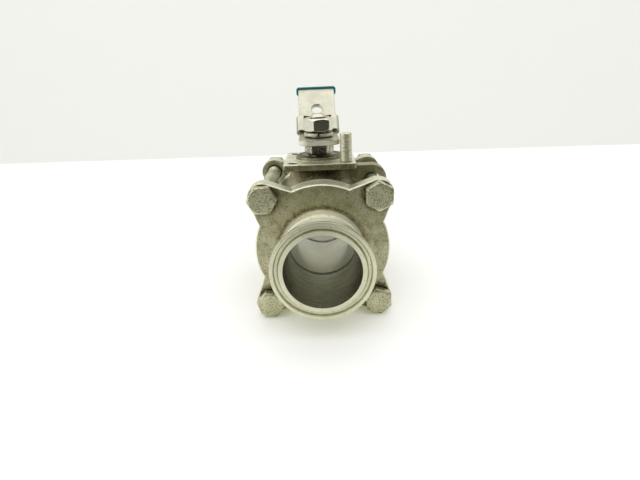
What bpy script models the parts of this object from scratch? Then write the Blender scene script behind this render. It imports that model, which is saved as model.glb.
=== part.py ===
"""Three-piece, full-port ball valve for two-inch sanitary pipe, with clamp ferrules and a lever.

The pipe runs along Y and the stem points up, along +Z. The origin lies on the plane that the valve
rests on, under the middle of its overall length. The lever is at rest along the pipe, so the valve
is open. Lengths are in metres.
"""

import math

import bmesh
import bpy
from mathutils import Matrix, Vector

MM = 0.001
GAP = 0.3 * MM  # room left between two pieces that touch

# Pipe and clamp ends
BORE_R = 23.75 * MM
FACE_TO_FACE = 156.0 * MM
FERRULE_R = 31.95 * MM
FERRULE_RIM = 2.85 * MM
FERRULE_TAPER = math.radians(20.0)
GROOVE_R = 28.15 * MM
GROOVE_HALF_WIDTH = 1.6 * MM
GROOVE_DEPTH = 1.5 * MM
NECK_R = 26.8 * MM
NECK_END = 52.5 * MM  # distance from the stem to the step where the turned neck meets the cast hub
HUB_R = 27.6 * MM
HUB_FOOT_R = 30.2 * MM

# End caps and the four through bolts
DISC_R = 44.85 * MM
CAP_THICKNESS = 10.0 * MM
BODY_HALF_LENGTH = 33.0 * MM
CAP_INNER = BODY_HALF_LENGTH + GAP
CAP_OUTER = CAP_INNER + CAP_THICKNESS
BOLT_OFFSET = 37.07 * MM  # of each bolt from the pipe's axis, along X and along Z
EAR_R = 10.0 * MM
NOTCH_ANGLE = math.radians(19.2)  # between an ear's middle and the notch beside it
BOLT_HOLE_R = 6.0 * MM
BOLT_R = 5.0 * MM
BOLT_LENGTH = 100.0 * MM
BOLT_FLATS = 17.0 * MM
HEAD_HEIGHT = 6.4 * MM
NUT_HEIGHT = 8.0 * MM
SPRING_WASHER_R = 8.8 * MM
SPRING_WASHER_THICKNESS = 2.4 * MM
HEAD_TURNS = (0.0, 30.0, 12.0, 20.0)  # degrees: upper left, upper right, lower left, lower right
NUT_TURNS = (0.0, 0.0, 38.0, 52.0)

# Body
DRUM_R = 44.5 * MM
WAIST_R = 42.6 * MM
RIM_WIDTH = 6.5 * MM
CAVITY_R = 38.5 * MM
SEAL_POCKET_R = 41.0 * MM
SEAL_POCKET_DEPTH = 3.0 * MM
PAD_SIDE = 49.3 * MM
PAD_TOP = 53.9 * MM
PAD_THICKNESS = 4.3 * MM
PAD_HOLE_OFFSET = 18.0 * MM
PAD_HOLE_R = 3.3 * MM
PAD_NECK_R = 19.0 * MM
PAD_NECK_FOOT_R = 24.0 * MM
BOSS_R = 16.5 * MM
BOSS_TOP = 56.4 * MM
LUG_R = 10.5 * MM
LUG_RAISE = 1.0 * MM  # of the lug's round end above the bolt's axis
LUG_HALF_THICKNESS = 4.8 * MM

# Ball, seats and seals
BALL_R = 38.0 * MM
SLOT_FLOOR = 31.5 * MM
TANG_HALF_THICKNESS = 4.0 * MM
TANG_HALF_WIDTH = 8.0 * MM
SPIGOT_R = 38.2 * MM
SPIGOT_END = 30.0 * MM
SEAT_R = 31.3 * MM
SEAT_BACK = 32.5 * MM
SEAT_FRONT = 27.5 * MM
SEAL_INNER_R = 38.5 * MM
SEAL_OUTER_R = 40.7 * MM

# Stem and its packing, as heights above the pipe's axis
STEM_R = 7.0 * MM
STEM_FLATS = 12.0 * MM
STEM_SHOULDER = 64.7 * MM
STEM_THREAD_R = 5.9 * MM
STEM_TOP = 84.0 * MM
COLLAR_R = 9.5 * MM
COLLAR_BOTTOM = 38.6 * MM
COLLAR_TOP = 41.6 * MM
THROAT_BOTTOM = 43.3 * MM
THROAT_TOP = 45.9 * MM
CHAMBER_R = 11.0 * MM
RING_HEIGHT = 2.2 * MM
FOLLOWER_HEIGHT = 2.2 * MM
DISC_SPRING_HEIGHT = 1.2 * MM
GLAND_NUT_FLATS = 18.0 * MM
GLAND_NUT_BOTTOM = BOSS_TOP + GAP
GLAND_NUT_TOP = 64.4 * MM

# Lever: a strip that runs level over the stem, climbs clear of the bolts and levels out again
LEVER_PLAY = math.radians(1.5)  # the lever sits this far round on the stem's flats
LEVER_HALF_WIDTH = 14.0 * MM
LEVER_THICKNESS = 3.5 * MM
LEVER_MIDDLE = 66.75 * MM  # height of the strip's middle plane at the stem
LEVER_FRONT = -19.0 * MM
LEVER_FRONT_ROUND = 7.0 * MM
LEVER_EDGE = 0.7 * MM
RISER_START = 21.0 * MM
RISER_ANGLE = math.radians(47.0)
LEVER_RISE = 30.0 * MM
GRIP_DROOP = math.radians(1.5)
LEVER_REACH = 175.0 * MM
BEND_R = 6.0 * MM
PADLOCK_HOLE_R = 4.2 * MM
PADLOCK_HOLE_ALONG = 22.6 * MM  # from the foot of the riser to the hole's middle
SLEEVE_WALL = 1.4 * MM
SLEEVE_FIT = 0.2 * MM
SLEEVE_START = 1.6 * MM  # from the top of the riser to the sleeve's mouth

# Lever fixings
LEVER_WASHER_R = 10.1 * MM
LEVER_WASHER_BOTTOM = 69.2 * MM
LEVER_WASHER_THICKNESS = 2.5 * MM
LEVER_NUT_FLATS = 19.0 * MM
LEVER_NUT_BOTTOM = 72.4 * MM
LEVER_NUT_TOP = 81.4 * MM
LEVER_NUT_TURN = 13.4  # degrees

# Slide lock on the riser, and the post that stops the lever
SLIDE_LENGTH = 13.0 * MM
SLIDE_WALL = 1.8 * MM
SLIDE_LIP = 4.0 * MM
SLIDE_BEND_R = 1.4 * MM
SLIDE_ALONG = 9.0 * MM  # from the foot of the riser to the slide's middle
POST_R = 3.9 * MM
POST_SPIGOT_R = 3.0 * MM
POST_TOP = 72.8 * MM

# Where the pipe's axis and the stem's axis cross
LOWEST = BOLT_OFFSET + EAR_R
CENTRE = Vector((0.0, (FACE_TO_FACE / 2 - LEVER_REACH) / 2, LOWEST))

FINE = 36  # sides of a large round
MEDIUM = 24
SMALL = 16


def clear_scene():
    for old in list(bpy.data.objects):
        bpy.data.objects.remove(old)


def material(name, colour, roughness, metallic):
    made = bpy.data.materials.new(name)
    made.use_nodes = True
    shader = made.node_tree.nodes["Principled BSDF"]
    shader.inputs["Base Color"].default_value = (*colour, 1.0)
    shader.inputs["Roughness"].default_value = roughness
    shader.inputs["Metallic"].default_value = metallic
    return made


def axis_empty(name, location, parent=None, rotation=(0.0, 0.0, 0.0)):
    empty = bpy.data.objects.new(name, None)
    bpy.context.scene.collection.objects.link(empty)
    empty.location = location
    empty.rotation_euler = rotation
    empty.parent = parent
    return empty


def place(name, mesh, look, parent, location=(0.0, 0.0, 0.0), rotation=(0.0, 0.0, 0.0)):
    """Puts a mesh in the scene as one named piece, shaded smooth except over its real edges."""
    piece = bpy.data.objects.new(name, mesh)
    bpy.context.scene.collection.objects.link(piece)
    piece.parent = parent
    piece.location = location
    piece.rotation_euler = rotation
    if not mesh.materials:
        mesh.materials.append(look)
    mesh.shade_smooth()
    mesh.set_sharp_from_angle(angle=math.radians(35.0))
    return piece


# Shapes


def mesh_from(bm, turn=None):
    """Turns finished bmesh work into a mesh, with its faces pointing out."""
    if turn is not None:
        bmesh.ops.transform(bm, matrix=turn, verts=bm.verts)
    bmesh.ops.recalc_face_normals(bm, faces=bm.faces)
    mesh = bpy.data.meshes.new("shape")
    bm.to_mesh(mesh)
    bm.free()
    return mesh


ALONG_PIPE = Matrix.Rotation(math.radians(-90.0), 4, "X")  # local Z becomes +Y


def turned(outline, sides=FINE, turn=None):
    """A round solid from an outline of (radius, height) points.

    An outline whose two ends lie on the axis gives a solid, and any other outline gives a ring.
    """
    bm = bmesh.new()
    points = [bm.verts.new((radius, 0.0, height)) for radius, height in outline]
    pairs = list(zip(points, points[1:]))
    if outline[0][0] > 0.0:
        pairs.append((points[-1], points[0]))
    edges = [bm.edges.new(pair) for pair in pairs]
    bmesh.ops.spin(
        bm,
        geom=points + edges,
        cent=(0.0, 0.0, 0.0),
        axis=(0.0, 0.0, 1.0),
        angle=math.tau,
        steps=sides,
        use_merge=True,
    )
    bmesh.ops.remove_doubles(bm, verts=bm.verts, dist=0.001 * MM)
    return mesh_from(bm, turn)


def prism(outline, low, high, turn=None):
    """An outline of (x, y) points extruded from one height to another."""
    bm = bmesh.new()
    face = bm.faces.new([bm.verts.new((x, y, low)) for x, y in outline])
    grown = bmesh.ops.extrude_face_region(bm, geom=[face])
    top = [item for item in grown["geom"] if isinstance(item, bmesh.types.BMVert)]
    bmesh.ops.translate(bm, verts=top, vec=(0.0, 0.0, high - low))
    return mesh_from(bm, turn)


def box(low, high):
    (x0, y0, z0), (x1, y1, z1) = low, high
    return prism([(x0, y0), (x1, y0), (x1, y1), (x0, y1)], z0, z1)


def moved(mesh, matrix):
    mesh.transform(matrix)
    return mesh


def in_triangles(mesh):
    """Splits a mesh's faces into triangles, so that the next Boolean meets only flat ones."""
    bm = bmesh.new()
    bm.from_mesh(mesh)
    bmesh.ops.remove_doubles(bm, verts=bm.verts, dist=0.001 * MM)
    bmesh.ops.triangulate(bm, faces=bm.faces)
    bm.to_mesh(mesh)
    bm.free()
    return mesh


def combined(mesh, others, operation):
    """Joins, cuts or trims a mesh with others by exact Booleans, and returns the result."""
    for other in others:
        target = bpy.data.objects.new("target", mesh)
        tool = bpy.data.objects.new("tool", other)
        for helper in (target, tool):
            bpy.context.scene.collection.objects.link(helper)
        step = target.modifiers.new("step", "BOOLEAN")
        step.operation = operation
        step.solver = "EXACT"
        step.object = tool
        graph = bpy.context.evaluated_depsgraph_get()
        mesh = in_triangles(bpy.data.meshes.new_from_object(target.evaluated_get(graph)))
        for helper in (target, tool):
            bpy.data.objects.remove(helper)
    return mesh


def arc(centre, radius, start, end, steps):
    """Points on an arc of a circle, both ends included, with angles in radians."""
    angles = [start + (end - start) * step / steps for step in range(steps + 1)]
    return [(centre[0] + radius * math.cos(a), centre[1] + radius * math.sin(a)) for a in angles]


def rounded(points, radius, steps=4, closed=True):
    """An outline or a path with its corners turned into arcs of one radius."""
    out = []
    count = len(points)
    for index, corner in enumerate(points):
        if not closed and index in (0, count - 1):
            out.append(corner)
            continue
        here = Vector(corner)
        back = (Vector(points[index - 1]) - here).normalized()
        ahead = (Vector(points[(index + 1) % count]) - here).normalized()
        half = back.angle(ahead) / 2
        centre = here + (back + ahead).normalized() * radius / math.sin(half)
        first = here + back * radius / math.tan(half) - centre
        last = here + ahead * radius / math.tan(half) - centre
        sweep = first.angle_signed(last)
        for step in range(steps + 1):
            spoke = first.copy()
            spoke.rotate(Matrix.Rotation(-sweep * step / steps, 2))
            out.append(tuple(centre + spoke))
    return out


def rectangle(half_width, half_height):
    return [
        (-half_width, -half_height),
        (half_width, -half_height),
        (half_width, half_height),
        (-half_width, half_height),
    ]


def hexagon(flats, turn=0.0):
    """A hexagon of a given width over its flats, with a flat facing -Y when turn is 0."""
    corner = flats / 2 / math.cos(math.radians(30.0))
    angles = [math.radians(60.0 * side + turn) for side in range(6)]
    return [(corner * math.cos(a), corner * math.sin(a)) for a in angles]


def hex_block(flats, low, high, chamfer_low, chamfer_high):
    """A hexagon prism whose corners are turned off at either end."""
    block = prism(hexagon(flats), low, high)
    corner = flats / 2 / math.cos(math.radians(30.0)) + 0.2 * MM
    drop = (corner - flats / 2 * 0.96) * math.tan(math.radians(30.0))
    margin = 1.0 * MM
    flat_r = flats / 2 * 0.96
    outline = [(0.0, low - margin)]
    if chamfer_low:
        lead = flat_r - margin / math.tan(math.radians(30.0))
        outline += [(lead, low - margin), (corner, low + drop)]
    else:
        outline += [(corner, low - margin)]
    if chamfer_high:
        lead = flat_r - margin / math.tan(math.radians(30.0))
        outline += [(corner, high - drop), (lead, high + margin)]
    else:
        outline += [(corner, high + margin)]
    outline.append((0.0, high + margin))
    return combined(block, [turned(outline, MEDIUM)], "INTERSECT")


def ring(inner, outer, low, high, sides=MEDIUM, turn=None):
    return turned([(inner, low), (outer, low), (outer, high), (inner, high)], sides, turn)


def cylinder(radius, low, high, sides=MEDIUM, turn=None):
    return turned([(0.0, low), (radius, low), (radius, high), (0.0, high)], sides, turn)


def split_ring(inner, outer, thickness, lift, sides=MEDIUM, opening=math.radians(8.0)):
    """A spring washer: a ring cut through at -Y, one side of the cut lifted above the other."""
    bm = bmesh.new()
    loops = []
    for step in range(sides + 1):
        share = step / sides
        angle = math.radians(-90.0) + opening / 2 + (math.tau - opening) * share
        low = lift * share
        corners = [(inner, low), (outer, low), (outer, low + thickness), (inner, low + thickness)]
        spot = [(r * math.cos(angle), r * math.sin(angle), z) for r, z in corners]
        loops.append([bm.verts.new(point) for point in spot])
    for here, there in zip(loops, loops[1:]):
        for side in range(4):
            after = (side + 1) % 4
            bm.faces.new((here[side], here[after], there[after], there[side]))
    bm.faces.new(loops[0])
    bm.faces.new(loops[-1])
    return mesh_from(bm)


# End caps


def cap_outline():
    """A disc with four ears, joined to each by straight flanks that leave notches in the rim."""
    ear_distance = BOLT_OFFSET * math.sqrt(2.0)
    notch = Vector((math.cos(NOTCH_ANGLE), math.sin(NOTCH_ANGLE))) * DISC_R
    spoke = notch - Vector((ear_distance, 0.0))
    reach = math.atan2(spoke.y, spoke.x) - math.acos(EAR_R / spoke.length)
    outline = []
    for quarter in range(4):
        middle = math.radians(45.0 + 90.0 * quarter)
        centre = (ear_distance * math.cos(middle), ear_distance * math.sin(middle))
        rim_end = middle + math.radians(90.0) - NOTCH_ANGLE
        outline += arc(centre, EAR_R, middle - reach, middle + reach, 6)
        outline += arc((0.0, 0.0), DISC_R, middle + NOTCH_ANGLE, rim_end, 6)
    return outline


def hub_outline():
    """Half section of the near hub, neck and ferrule, outwards from the axis at the ferrule face."""
    face = -FACE_TO_FACE / 2
    groove_floor = face + GROOVE_DEPTH
    rim_back = face + FERRULE_RIM
    taper_end = rim_back + (FERRULE_R - NECK_R) * math.tan(FERRULE_TAPER)
    groove = [
        (GROOVE_R - GROOVE_HALF_WIDTH, face),
        (GROOVE_R - GROOVE_HALF_WIDTH * 0.6, groove_floor),
        (GROOVE_R + GROOVE_HALF_WIDTH * 0.6, groove_floor),
        (GROOVE_R + GROOVE_HALF_WIDTH, face),
    ]
    step = 0.5 * MM
    fillet = HUB_FOOT_R - HUB_R
    foot = arc((HUB_FOOT_R, -CAP_OUTER - fillet), fillet, math.radians(180.0), math.radians(105.0), 4)
    return [
        (0.0, face),
        *groove,
        (FERRULE_R, face),
        (FERRULE_R, rim_back),
        (NECK_R, taper_end),
        (NECK_R, -NECK_END - step),
        (NECK_R - step, -NECK_END),
        (HUB_R, -NECK_END + 2 * step),
        *foot,
        (HUB_FOOT_R, -CAP_OUTER + 2 * step),
        (HUB_FOOT_R, -CAP_INNER - CAP_THICKNESS / 2),
        (SPIGOT_R, -CAP_INNER - CAP_THICKNESS / 2),
        (SPIGOT_R, -SPIGOT_END),
        (0.0, -SPIGOT_END),
    ]


def bolt_places():
    """Upper left, upper right, lower left and lower right, seen along +Y."""
    return [(x * BOLT_OFFSET, z * BOLT_OFFSET) for z in (1, -1) for x in (-1, 1)]


def end_cap():
    """The near end cap: ears, disc, hub, clamp ferrule and the spigot that enters the body."""
    plate = prism(cap_outline(), CAP_INNER, CAP_OUTER, Matrix.Rotation(math.radians(90.0), 4, "X"))
    cap = combined(plate, [turned(hub_outline(), FINE, ALONG_PIPE)], "UNION")
    over = 2.0 * MM
    cutters = [
        cylinder(BORE_R, -FACE_TO_FACE / 2 - over, -SPIGOT_END + over, FINE, ALONG_PIPE),
        cylinder(SEAT_R + GAP, -SEAT_BACK - GAP, -SPIGOT_END + over, FINE, ALONG_PIPE),
    ]
    for x, z in bolt_places():
        hole = cylinder(BOLT_HOLE_R, -CAP_OUTER - over, -CAP_INNER + over, SMALL, ALONG_PIPE)
        cutters.append(moved(hole, Matrix.Translation((x, 0.0, z))))
    return combined(cap, cutters, "DIFFERENCE")


# Body


def drum():
    slope = 1.5 * MM
    waist = BODY_HALF_LENGTH - RIM_WIDTH
    outline = [
        (0.0, -BODY_HALF_LENGTH),
        (DRUM_R, -BODY_HALF_LENGTH),
        (DRUM_R, -waist),
        (WAIST_R, -waist + slope),
        (WAIST_R, waist - slope),
        (DRUM_R, waist),
        (DRUM_R, BODY_HALF_LENGTH),
        (0.0, BODY_HALF_LENGTH),
    ]
    return turned(outline, FINE, ALONG_PIPE)


def lug():
    """The ear on the body's right side, which one bolt passes through."""
    centre = (BOLT_OFFSET, BOLT_OFFSET + LUG_RAISE)
    root = 16.0 * MM
    outline = [
        *arc(centre, LUG_R, math.radians(-50.0), math.radians(90.0), 7),
        (root, centre[1] + LUG_R),
        (root, root),
        (DRUM_R * math.cos(math.radians(30.0)), DRUM_R * math.sin(math.radians(30.0)) - LUG_R / 2),
    ]
    upright = Matrix.Rotation(math.radians(90.0), 4, "X")
    return prism(outline, -LUG_HALF_THICKNESS, LUG_HALF_THICKNESS, upright)


def body():
    """The middle piece: drum, actuator pad on its neck, packing boss and bolt lug."""
    side = PAD_SIDE / 2
    over = 2.0 * MM
    pad_bottom = PAD_TOP - PAD_THICKNESS
    pad = prism(rounded(rectangle(side, side), 2.0 * MM), pad_bottom, PAD_TOP)
    sunk = WAIST_R * 0.75
    neck = [
        (0.0, sunk),
        (PAD_NECK_FOOT_R + 3.0 * MM, sunk),
        (PAD_NECK_FOOT_R, WAIST_R * 0.9),
        (PAD_NECK_R, pad_bottom - 1.0 * MM),
        (PAD_NECK_R, PAD_TOP - over),
        (0.0, PAD_TOP - over),
    ]
    boss = [
        (0.0, pad_bottom + over / 2),
        (BOSS_R, pad_bottom + over / 2),
        (BOSS_R, BOSS_TOP - 1.0 * MM),
        (BOSS_R - 1.0 * MM, BOSS_TOP),
        (0.0, BOSS_TOP),
    ]
    solid = combined(drum(), [turned(neck, MEDIUM), lug(), pad, turned(boss, MEDIUM)], "UNION")
    inside = SEAL_POCKET_DEPTH
    cavity = [
        (0.0, -BODY_HALF_LENGTH - over),
        (SEAL_POCKET_R, -BODY_HALF_LENGTH - over),
        (SEAL_POCKET_R, -BODY_HALF_LENGTH + inside),
        (CAVITY_R, -BODY_HALF_LENGTH + inside),
        (CAVITY_R, BODY_HALF_LENGTH - inside),
        (SEAL_POCKET_R, BODY_HALF_LENGTH - inside),
        (SEAL_POCKET_R, BODY_HALF_LENGTH + over),
        (0.0, BODY_HALF_LENGTH + over),
    ]
    stem_way = [
        (0.0, CAVITY_R - 5.0 * MM),
        (COLLAR_R + 0.5 * MM, CAVITY_R - 5.0 * MM),
        (COLLAR_R + 0.5 * MM, THROAT_BOTTOM),
        (STEM_R + GAP, THROAT_BOTTOM),
        (STEM_R + GAP, THROAT_TOP),
        (CHAMBER_R, THROAT_TOP),
        (CHAMBER_R, BOSS_TOP + over),
        (0.0, BOSS_TOP + over),
    ]
    cutters = [turned(stem_way, MEDIUM)]
    lug_hole = cylinder(BOLT_HOLE_R, -2 * LUG_HALF_THICKNESS, 2 * LUG_HALF_THICKNESS, SMALL, ALONG_PIPE)
    cutters.append(moved(lug_hole, Matrix.Translation((BOLT_OFFSET, 0.0, BOLT_OFFSET))))
    for x in (-PAD_HOLE_OFFSET, PAD_HOLE_OFFSET):
        for y in (-PAD_HOLE_OFFSET, PAD_HOLE_OFFSET):
            hole = cylinder(PAD_HOLE_R, pad_bottom - over / 2, PAD_TOP + over, 16)
            cutters.append(moved(hole, Matrix.Translation((x, y, 0.0))))
    cutters.append(turned(cavity, FINE, ALONG_PIPE))
    return combined(solid, cutters, "DIFFERENCE")


# Inside the body


def ball():
    """A bored ball, with the slot across its top that the stem's tang turns it by."""
    edge = math.acos(BORE_R / BALL_R)
    outline = arc((0.0, 0.0), BALL_R, -edge, edge, 10)
    shell = turned(outline, FINE, ALONG_PIPE)
    width = TANG_HALF_THICKNESS + GAP
    slot = box((-BALL_R, -width, SLOT_FLOOR), (BALL_R, width, BALL_R + 5.0 * MM))
    return combined(shell, [slot], "DIFFERENCE")


def seat():
    """The near seat ring, hollowed to the ball's curve on its inner side."""
    inner = BORE_R + 0.2 * MM
    curve_r = BALL_R + GAP
    start = math.acos(SEAT_FRONT / curve_r)
    end = math.asin(inner / curve_r)
    hollow = [
        (curve_r * math.sin(angle), -curve_r * math.cos(angle))
        for angle in (start, (start + end) / 2, end)
    ]
    return turned([(inner, -SEAT_BACK), (SEAT_R, -SEAT_BACK), (SEAT_R, -SEAT_FRONT), *hollow], FINE, ALONG_PIPE)


def body_seal():
    back = BODY_HALF_LENGTH - GAP / 2
    front = BODY_HALF_LENGTH - SEAL_POCKET_DEPTH + GAP
    return ring(SEAL_INNER_R, SEAL_OUTER_R, -back, -front, FINE, ALONG_PIPE)


def stem():
    """Tang, blow-out-proof collar, shaft, two flats for the lever and a threaded end."""
    chamfer = 1.8 * MM
    shaft = [
        (0.0, COLLAR_BOTTOM),
        (COLLAR_R, COLLAR_BOTTOM),
        (COLLAR_R, COLLAR_TOP),
        (STEM_R, COLLAR_TOP),
        (STEM_R, LEVER_MIDDLE + LEVER_THICKNESS / 2),
        (STEM_THREAD_R, LEVER_MIDDLE + LEVER_THICKNESS / 2 + GAP / 2),
        (STEM_THREAD_R, STEM_TOP - chamfer),
        (STEM_THREAD_R - chamfer, STEM_TOP),
        (0.0, STEM_TOP),
    ]
    low = (-TANG_HALF_WIDTH, -TANG_HALF_THICKNESS, SLOT_FLOOR + GAP)
    high = (TANG_HALF_WIDTH, TANG_HALF_THICKNESS, COLLAR_BOTTOM + 1.0 * MM)
    solid = combined(turned(shaft, MEDIUM), [box(low, high)], "UNION")
    wide = 2 * STEM_R
    trims = []
    for side in (-1, 1):
        near, far = sorted((side * STEM_FLATS / 2, side * wide))
        trims.append(box((near, -wide, STEM_SHOULDER), (far, wide, STEM_TOP + chamfer)))
    return combined(solid, trims, "DIFFERENCE")


def disc_spring(cone):
    """A conical spring washer, its inner edge raised by the cone's height."""
    inner = STEM_R + GAP
    outer = CHAMBER_R - GAP
    thickness = DISC_SPRING_HEIGHT - abs(cone)
    low = max(-cone, 0.0)
    outline = [(inner, low + cone), (outer, low), (outer, low + thickness), (inner, low + cone + thickness)]
    return turned(outline, MEDIUM)


def packing_stack():
    """Bottom height of each piece in the packing chamber, from the lowest up."""
    heights = {}
    level = THROAT_TOP + GAP
    sizes = [("packing_ring_1", RING_HEIGHT), ("packing_ring_2", RING_HEIGHT)]
    sizes += [("gland_follower", FOLLOWER_HEIGHT)]
    sizes += [("disc_spring_1", DISC_SPRING_HEIGHT), ("disc_spring_2", DISC_SPRING_HEIGHT)]
    for name, height in sizes:
        heights[name] = level
        level += height + GAP
    return heights


# Fasteners


def bolt():
    """A hexagon bolt along +Y, with the underside of its head at the origin."""
    head = hex_block(BOLT_FLATS, -HEAD_HEIGHT, 0.0, True, False)
    tip = 1.0 * MM
    shank = [
        (0.0, -HEAD_HEIGHT / 2),
        (BOLT_R, -HEAD_HEIGHT / 2),
        (BOLT_R, BOLT_LENGTH - tip),
        (BOLT_R - tip, BOLT_LENGTH),
        (0.0, BOLT_LENGTH),
    ]
    return moved(combined(head, [turned(shank, SMALL)], "UNION"), ALONG_PIPE)


def hex_nut(flats, hole, height):
    block = hex_block(flats, 0.0, height, True, True)
    over = 1.0 * MM
    return combined(block, [cylinder(hole, -over, height + over, SMALL)], "DIFFERENCE")


# Lever


def lever_path():
    """The strip's middle line in the plane of the stem and the pipe, as (y, z) points."""
    riser_end = RISER_START + LEVER_RISE / math.tan(RISER_ANGLE)
    tip = LEVER_REACH - SLEEVE_WALL - 1.0 * MM
    drop = (tip - riser_end) * math.tan(GRIP_DROOP)
    top = LEVER_MIDDLE + LEVER_RISE
    corners = [
        (LEVER_FRONT, LEVER_MIDDLE),
        (RISER_START, LEVER_MIDDLE),
        (riser_end, top),
        (tip, top - drop),
    ]
    return corners


def strip(path, half_width, thickness, edge, nose):
    """A flat bar bent along a path, with broken edges and a nose rounded in plan."""
    bm = bmesh.new()
    stations = []
    for step in range(5):
        angle = math.radians(22.5 * step)
        back = Vector((nose * (1 - math.cos(angle)), 0.0))
        stations.append((Vector(path[0]) + back, nose * (1 - math.sin(angle))))
    stations += [(Vector(point), 0.0) for point in path[1:]]
    loops = []
    for index, (spot, narrowing) in enumerate(stations):
        before = stations[max(index - 1, 0)][0]
        after = stations[min(index + 1, len(stations) - 1)][0]
        if index in (0, len(stations) - 1):
            way = (after - before).normalized()
        else:
            way = ((spot - before).normalized() + (after - spot).normalized()).normalized()
        up = Vector((-way.y, way.x))
        wide = half_width - narrowing
        half = thickness / 2
        section = [
            (-wide + edge, -half),
            (wide - edge, -half),
            (wide, -half + edge),
            (wide, half - edge),
            (wide - edge, half),
            (-wide + edge, half),
            (-wide, half - edge),
            (-wide, -half + edge),
        ]
        loop = []
        for x, rise in section:
            point = spot + up * rise
            loop.append(bm.verts.new((x, point.x, point.y)))
        loops.append(loop)
    for here, there in zip(loops, loops[1:]):
        for side in range(8):
            after = (side + 1) % 8
            bm.faces.new((here[side], here[after], there[after], there[side]))
    bm.faces.new(loops[0])
    bm.faces.new(loops[-1])
    return mesh_from(bm)


def double_d(radius, flats, steps=6):
    """A circle with two flats, facing +X and -X."""
    corner = math.acos(flats / 2 / radius)
    front = arc((0.0, 0.0), radius, -math.pi + corner, -corner, steps)
    back = arc((0.0, 0.0), radius, corner, math.pi - corner, steps)
    return front + back


def riser_point(along):
    """A point on the riser's middle line, in the plane of the stem and the pipe."""
    y = RISER_START + along * math.cos(RISER_ANGLE)
    z = LEVER_MIDDLE + along * math.sin(RISER_ANGLE)
    return Vector((0.0, y, z))


def lever():
    """The bare strip: stem hole at the front, padlock hole in the riser, tongue inside the sleeve."""
    bar = strip(
        rounded(lever_path(), BEND_R, 5, closed=False),
        LEVER_HALF_WIDTH,
        LEVER_THICKNESS,
        LEVER_EDGE,
        LEVER_FRONT_ROUND,
    )
    over = 3.0 * MM
    reach = LEVER_THICKNESS + over
    stem_hole = prism(double_d(STEM_R + GAP, STEM_FLATS + 2 * GAP), LEVER_MIDDLE - reach, LEVER_MIDDLE + reach)
    padlock_hole = cylinder(PADLOCK_HOLE_R, -reach, reach, SMALL)
    square_to_riser = Matrix.Translation(riser_point(PADLOCK_HOLE_ALONG)) @ Matrix.Rotation(RISER_ANGLE, 4, "X")
    return combined(bar, [stem_hole, moved(padlock_hole, square_to_riser)], "DIFFERENCE")


def grip_sleeve(length):
    """A dipped vinyl sleeve along +Y: open at the origin, closed at its far end."""
    inner_w = LEVER_HALF_WIDTH + SLEEVE_FIT
    inner_h = LEVER_THICKNESS / 2 + SLEEVE_FIT
    outer = rounded(rectangle(inner_w + SLEEVE_WALL, inner_h + SLEEVE_WALL), 2.2 * MM)
    inner = rounded(rectangle(inner_w, inner_h), 0.6 * MM, 2)
    over = 2.0 * MM
    outside = prism(outer, 0.0, length, ALONG_PIPE)
    inside = prism(inner, -over, length - SLEEVE_WALL, ALONG_PIPE)
    return combined(outside, [inside], "DIFFERENCE")


def lock_slide():
    """A folded sheet that wraps the strip's top and edges and turns in under it."""
    inner_w = LEVER_HALF_WIDTH + GAP
    inner_h = LEVER_THICKNESS / 2 + GAP
    outer = rounded(rectangle(inner_w + SLIDE_WALL, inner_h + SLIDE_WALL), SLIDE_BEND_R + SLIDE_WALL)
    inner = rounded(rectangle(inner_w, inner_h), SLIDE_BEND_R)
    over = 2.0 * MM
    half = SLIDE_LENGTH / 2
    mouth = inner_w - SLIDE_LIP
    tube = prism(outer, -half, half, ALONG_PIPE)
    hollow = prism(inner, -half - over, half + over, ALONG_PIPE)
    opening = box((-mouth, -half - over, -inner_h - SLIDE_WALL - over), (mouth, half + over, 0.0))
    return combined(tube, [hollow, opening], "DIFFERENCE")


def stop_post():
    """A shouldered pin: its spigot sits in a corner hole of the pad."""
    seat_level = PAD_TOP + GAP
    chamfer = 0.6 * MM
    outline = [
        (0.0, PAD_TOP - PAD_THICKNESS),
        (POST_SPIGOT_R, PAD_TOP - PAD_THICKNESS),
        (POST_SPIGOT_R, seat_level),
        (POST_R, seat_level),
        (POST_R, POST_TOP - chamfer),
        (POST_R - chamfer, POST_TOP),
        (0.0, POST_TOP),
    ]
    return turned(outline, SMALL)


# Assembly


def make_materials():
    return {
        "cast": material("cast_stainless", (0.42, 0.41, 0.36), 0.48, 1.0),
        "turned": material("turned_stainless", (0.60, 0.59, 0.54), 0.28, 1.0),
        "bolt": material("bolt_stainless", (0.50, 0.49, 0.43), 0.38, 1.0),
        "sheet": material("sheet_stainless", (0.58, 0.57, 0.52), 0.35, 1.0),
        "polished": material("polished_stainless", (0.68, 0.67, 0.63), 0.16, 1.0),
        "ptfe": material("white_ptfe", (0.80, 0.79, 0.74), 0.55, 0.0),
        "vinyl": material("teal_vinyl", (0.01, 0.20, 0.22), 0.38, 0.0),
    }


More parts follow.
